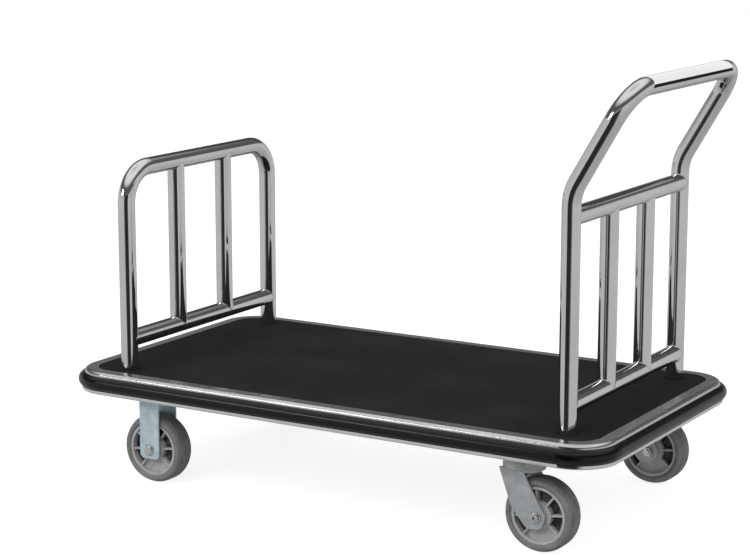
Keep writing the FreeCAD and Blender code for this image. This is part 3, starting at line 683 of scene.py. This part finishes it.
def add_surroundings():
    """Studio seen in the polish, by direction.

    It is pale below and at the horizon, has a dark band above that and is bright overhead. The low
    part is dimmer opposite the camera. Diffuse rays get a little less light from all of it.
    """
    world = bpy.data.worlds.new("studio")
    bpy.context.scene.world = world
    world.use_nodes = True
    sky = Nodes(world.node_tree)
    direction = sky.add("ShaderNodeTexCoord", "Generated")
    flat = sky.vector("NORMALIZE", sky.vector("MULTIPLY", direction, (1, 1, 0)))
    towards_camera = sky.vector("DOT_PRODUCT", flat, facing(CAMERA_AZ, 0), out="Value")
    height = sky.vector("DOT_PRODUCT", direction, (0, 0, 1), out="Value")
    by_height = sky.grey_ramp(height, GREY_BY_HEIGHT)
    by_azimuth = sky.grey_ramp(towards_camera, GREY_BY_AZIMUTH)
    overhead = sky.range(height, OVERHEAD_FROM, OVERHEAD_TO, smooth=False)
    colour = sky.vector("MULTIPLY", by_height, sky.mix(overhead, by_azimuth, WHITE))
    diffuse = sky.add("ShaderNodeLightPath", "Is Diffuse Ray")
    background = sky.tree.nodes["Background"]
    sky.plug(background.inputs["Color"], colour)
    sky.plug(background.inputs["Strength"], sky.range(diffuse, 0, 1, 1.0, DIFFUSE_STRENGTH, smooth=False))


def glow_look(name, glow):
    """Material that gives light of its own and reflects none."""
    return Look(name, Base_Color=(0, 0, 0), Specular_IOR_Level=0.0, Emission_Color=WHITE,
                Emission_Strength=glow)


def hide_from(obj, *rays):
    """Hide a dome or panel from the named kinds of ray, and from the kinds that none of them needs."""
    for ray in rays + ("transmission", "shadow", "volume_scatter"):
        setattr(obj, "visible_" + ray, False)


def add_strip(name, pairs, look):
    """Panel through pairs of points, one pair across it at each step, seen only in the polish."""
    verts = [point for pair in pairs for point in pair]
    faces = [(k, k + 2, k + 3, k + 1) for k in range(0, len(verts) - 2, 2)]
    strip = add_mesh(name, verts, faces, look.material)
    hide_from(strip, "camera", "diffuse")
    return strip


def add_floor():
    """Plain pale floor and a white dome behind it; neither shows in the polish."""
    corners = [(sx * FLOOR_HALF, sy * FLOOR_HALF, 0) for sx, sy in ((-1, -1), (1, -1), (1, 1), (-1, 1))]
    look = Look("studio_floor", Base_Color=(0.40, 0.40, 0.40), Roughness=0.9, Specular_IOR_Level=0.0,
                Emission_Color=WHITE, Emission_Strength=0.86)
    floor = add_mesh("floor", corners, [(0, 1, 2, 3)], look.material)
    floor.visible_glossy = False
    floor.visible_diffuse = False

    verts, faces = [], []
    for ring in range(DOME_RINGS + 1):
        lift = math.radians(DOME_FOOT + (90 - DOME_FOOT) * ring / DOME_RINGS)
        for step in range(DOME_STEPS):
            verts.append(facing(2 * math.pi * step / DOME_STEPS, lift) * DOME_R)
    for ring in range(DOME_RINGS):
        for step in range(DOME_STEPS):
            a = ring * DOME_STEPS + step
            b = ring * DOME_STEPS + (step + 1) % DOME_STEPS
            faces.append((a, a + DOME_STEPS, b + DOME_STEPS, b))
    dome = add_mesh("backdrop", verts, faces, glow_look("studio_backdrop", 1.0).material)
    hide_from(dome, "glossy", "diffuse")


def add_flag():
    """Dark studio flag in front of the cart: it draws the dark line down the middle of each tube."""
    rise = Vector((0, 0, FLAG_HALF_HEIGHT))
    sideways = Vector((math.cos(FLAG_AZ), math.sin(FLAG_AZ), 0))
    pairs = []
    for step in range(FLAG_STEPS + 1):
        lean = (2 * step / FLAG_STEPS - 1) * FLAG_HALF_WIDTH / FLAG_R
        spot = FLAG_CENTRE + sideways * FLAG_R * math.sin(lean)
        spot -= facing(FLAG_AZ, 0) * FLAG_R * (math.cos(lean) - 1)
        pairs.append((spot - rise, spot + rise))
    look = glow_look("studio_flag", FLAG_GLOW)
    from_centre = look.point((1, 1, 0), (FLAG_CENTRE.x, FLAG_CENTRE.y, 0))
    apart = look.vector("LENGTH", from_centre, out="Value")
    look.set(Alpha=look.range(apart, FLAG_SOLID, FLAG_GONE, 1.0, 0.0))
    flag = add_strip("flag", pairs, look)


def add_reflectors():
    """White card over the handle's top bar and a dark one outside it, seen only in the polish."""
    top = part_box("handle_hoop")[1]
    axis_x, axis_z = top.x - TUBE_R, top.z - TUBE_R
    for name, first, last, glow in CARDS:
        pairs = []
        for step in range(CARD_STEPS + 1):
            turn = math.radians(first + (last - first) * step / CARD_STEPS)
            x = axis_x + CARD_R * math.cos(turn)
            z = axis_z + CARD_R * math.sin(turn)
            pairs.append(((x, CARD_Y0, z), (x, CARD_Y1, z)))
        card = add_strip(name, pairs, glow_look("studio_" + name, glow))


add_camera()
add_surroundings()
add_floor()
add_flag()
add_reflectors()
add_softbox("front_fill", azimuth=5, elevation=35, distance=4.0, size=(3.0, 2.0), watts=60, glossy=False)
add_softbox("side_fill", azimuth=85, elevation=30, distance=4.0, size=(2.0, 2.0), watts=35, glossy=False)
add_softbox("rear_fill", azimuth=205, elevation=30, distance=4.0, size=(3.0, 2.0), watts=30, glossy=False)
add_softbox("left_strip", azimuth=-33, elevation=22, distance=4.5, size=(1.6, 0.9), watts=22)
bpy.context.scene.view_settings.view_transform = "Standard"
